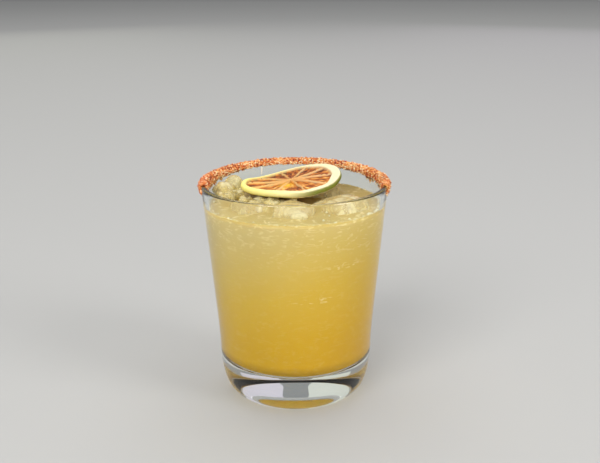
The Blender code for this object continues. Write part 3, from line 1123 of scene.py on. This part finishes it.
def grains(kind_seed, count, size, flatness, spread):
    """Scattered grains in mm: each is a small cut stone, turned at random and set into the crust."""
    draw = random.Random(kind_seed)
    bm = bmesh.new()
    batch = bmesh.new()
    batch_mesh = bpy.data.meshes.new("batch")
    for i in range(count):
        angle = CRUST_START + (CRUST_END - CRUST_START) * draw.random()
        along = 0.5 + (draw.random() - 0.5) * spread
        inside = min(1.0, max(0.0, along))
        out = crust_height(angle, inside) * (0.55 + 0.55 * draw.random())
        if along != inside:
            out = STRAY_HEIGHT
        turn = Matrix.Rotation(draw.uniform(0, math.tau), 4, Vector((draw.gauss(0, 1), draw.gauss(0, 1), 1)))
        stretch = Matrix.Diagonal((draw.uniform(*GRAIN_STRETCH), draw.uniform(*GRAIN_STRETCH), flatness, 1))
        radius = size * draw.uniform(*GRAIN_SIZES) * MM
        placed = Matrix.Translation(crust_point(angle, along, out)) @ turn @ stretch
        bmesh.ops.create_icosphere(batch, subdivisions=1, radius=radius, matrix=placed)
        if len(batch.verts) > BATCH_POINTS or i == count - 1:
            batch.to_mesh(batch_mesh)
            bm.from_mesh(batch_mesh)
            batch.clear()
    bpy.data.meshes.remove(batch_mesh)
    batch.free()
    return bm


# %% [markdown]
# Inside the glass at the back, a little brine has run down from the crust and dried white.

# %% Run of dried brine, in mm
DRIP_ANGLE = math.radians(114)
DRIP_TOP = 104.0
DRIP_LENGTH = 4.6
DRIP_RADIUS = 0.38


def salt_drip():
    """A long drop that lies against the inside of the glass."""
    height = DRIP_TOP - DRIP_LENGTH / 2
    radius = cavity_radius(height) - DRIP_RADIUS / 2
    place = Vector((radius * math.cos(DRIP_ANGLE), radius * math.sin(DRIP_ANGLE), height)) * MM
    shape = Matrix.Diagonal((DRIP_RADIUS, DRIP_RADIUS, DRIP_LENGTH / 2, 1))
    bm = bmesh.new()
    bmesh.ops.create_icosphere(bm, subdivisions=4, radius=MM, matrix=Matrix.Translation(place) @ shape)
    return bm


# %% [markdown]
# Salt is clear but coarse salt looks white, because light scatters in its cracks. Chilli powder
# stains it from peach to orange, and the flakes themselves are a deep red. The colour changes from
# grain to grain, at about one grain's width, and in patches a few millimetres wide. The left end of
# the crust was pressed deepest into the chilli, and it is the reddest.


# %% Salt and chilli
def grain_material(name, stops, roughness, scatter):
    """Rough, slightly see-through grains. The stops run from the darkest grain to the lightest."""
    made, out = new_material(name)
    spot = add_node(made, "ShaderNodeTexCoord")
    cells = add_node(
        made, "ShaderNodeTexVoronoi", sockets={"Vector": spot.outputs["Object"], "Scale": scale_for(0.909)}
    )
    grey = add_node(made, "ShaderNodeSeparateColor", sockets={"Color": cells.outputs["Color"]})
    patches = add_node(
        made,
        "ShaderNodeTexNoise",
        sockets={"Vector": spot.outputs["Object"], "Scale": scale_for(9.09), "Detail": 2.0},
    )
    lighter = add_node(
        made,
        "ShaderNodeMapRange",
        sockets={
            "Value": patches.outputs["Fac"],
            "From Min": 0.3,
            "From Max": 0.7,
            "To Min": -0.35,
            "To Max": 0.35,
        },
    )
    mottled = add_node(
        made, "ShaderNodeMath", {"operation": "ADD"}, {0: grey.outputs["Red"], 1: lighter.outputs["Result"]}
    )
    ramp = add_node(made, "ShaderNodeValToRGB", sockets={"Fac": mottled.outputs[0]})
    set_stops(ramp, stops)
    parts = add_node(made, "ShaderNodeSeparateXYZ", sockets={"Vector": spot.outputs["Object"]})
    left_end = add_node(
        made,
        "ShaderNodeMapRange",
        sockets={"Value": parts.outputs["X"], "From Min": -40 * MM, "From Max": -46 * MM, "To Max": 0.45},
    )
    reddened = add_node(
        made,
        "ShaderNodeMix",
        {"data_type": "RGBA"},
        {0: left_end.outputs["Result"], 6: ramp.outputs["Color"], 7: linear("#dc4f26")},
    )
    shader = add_node(
        made,
        "ShaderNodeBsdfPrincipled",
        sockets={
            "Base Color": reddened.outputs[2],
            "Roughness": roughness,
            "IOR": 1.54,
            "Subsurface Weight": scatter,
            "Subsurface Radius": (1.0, 0.5, 0.3),
            "Subsurface Scale": 0.5 * MM,
        },
    )
    finish_material(made, out, shader)
    return made


crust_mix = grain_material(
    "chilli_salt_paste", ((0.0, "#853510"), (0.4, "#c0641f"), (0.75, "#e08f3c"), (1.0, "#efb670")), 0.6, 0.0
)
stained_salt = grain_material(
    "chilli_stained_salt", ((0.0, "#c9591b"), (0.5, "#e2883c"), (1.0, "#f4c48c")), 0.45, 0.1
)
white_salt = grain_material("coarse_salt", ((0.0, "#f0c486"), (1.0, "#f8e6bf")), 0.35, 0.1)
dried_brine = grain_material("dried_brine", ((0.0, "#f6efdf"), (1.0, "#fdfaf2")), 0.3, 0.1)
chilli = grain_material("chilli_flakes", ((0.0, "#85200f"), (0.6, "#b83a17"), (1.0, "#cf5423")), 0.5, 0.0)

# %% Crust and grains
stained_grains = grains(kind_seed=11, count=3200, size=0.42, flatness=0.8, spread=1.04)
white_grains = grains(kind_seed=12, count=1500, size=0.42, flatness=0.85, spread=1.12)
flakes = grains(kind_seed=13, count=1000, size=0.46, flatness=0.45, spread=1.02)
make_piece("chilli_salt_crust", crust_band(), crust_mix, ["salt_rim"])
make_piece("stained_salt_grains", stained_grains, stained_salt, ["salt_rim"])
make_piece("white_salt_grains", white_grains, white_salt, ["salt_rim"])
make_piece("salt_drip", salt_drip(), dried_brine, ["salt_rim"])
make_piece("chilli_flake_grains", flakes, chilli, ["salt_rim"])

# %% [markdown]
# ## Floor and light
#
# A pale floor and soft light, as in a studio. A large soft box at the upper left lights the front,
# and a narrower one at the right draws the edge of the glass. Two behind it shine into the drink and
# make it glow. The base mirrors them as its silver band, turned round: the right one is a little
# lilac and shows at the left, the left one is a little green and shows at the right, and the gap
# between them is the grey middle. The largest hangs overhead, for the lime and the crust. The world
# adds a low, even grey.

# %% Floor
FLOOR_SIZE = 8.0
bm = bmesh.new()
bmesh.ops.create_grid(bm, x_segments=1, y_segments=1, size=FLOOR_SIZE)
floor_mesh = bpy.data.meshes.new("floor")
bm.to_mesh(floor_mesh)
bm.free()
floor = bpy.data.objects.new("floor", floor_mesh)
floor.location.z = -0.05 * MM  # so that it isn't in the same place as the foot of the glass
scene.collection.objects.link(floor)
floor_paint, output = new_material("matt_floor_paint")
surface = add_node(
    floor_paint, "ShaderNodeBsdfPrincipled", sockets={"Base Color": linear("#b6b5b2"), "Roughness": 0.8}
)
finish_material(floor_paint, output, surface)
floor_mesh.materials.append(floor_paint)


# %% Lights
MIDDLE = Vector((0, 0, 0.06))  # of the drink, in metres


def soft_box(name, place, size, power, tint="#ffffff"):
    """An area light that looks at the middle of the drink. Metres and watts."""
    light = bpy.data.lights.new(name, "AREA")
    light.shape = "RECTANGLE"
    light.size, light.size_y = size
    light.energy = power
    light.color = linear(tint)[:3]
    box = bpy.data.objects.new(name, light)
    box.location = place
    box.rotation_euler = (MIDDLE - Vector(place)).to_track_quat("-Z", "Y").to_euler()
    scene.collection.objects.link(box)


soft_box("key", (-0.7, -1.3, 1.2), (1.0, 1.0), 23)
soft_box("fill", (1.2, -0.7, 0.7), (0.5, 1.2), 11)
soft_box("back_right", (0.67, 1.6, 0.8), (0.97, 1.4), 2.1, "#e8ddf0")
soft_box("back_left", (-0.67, 1.6, 0.8), (0.95, 1.4), 2.1, "#e9ecdc")
soft_box("overhead", (0.0, 0.6, 2.2), (3.0, 3.0), 38)

world = bpy.data.worlds.new("studio")
world.use_nodes = True
world.node_tree.nodes["Background"].inputs["Color"].default_value = linear("#d5d8dc")
world.node_tree.nodes["Background"].inputs["Strength"].default_value = 0.4
scene.world = world
scene.view_settings.view_transform = "Standard"
print("lights:", [light.name for light in bpy.data.lights])
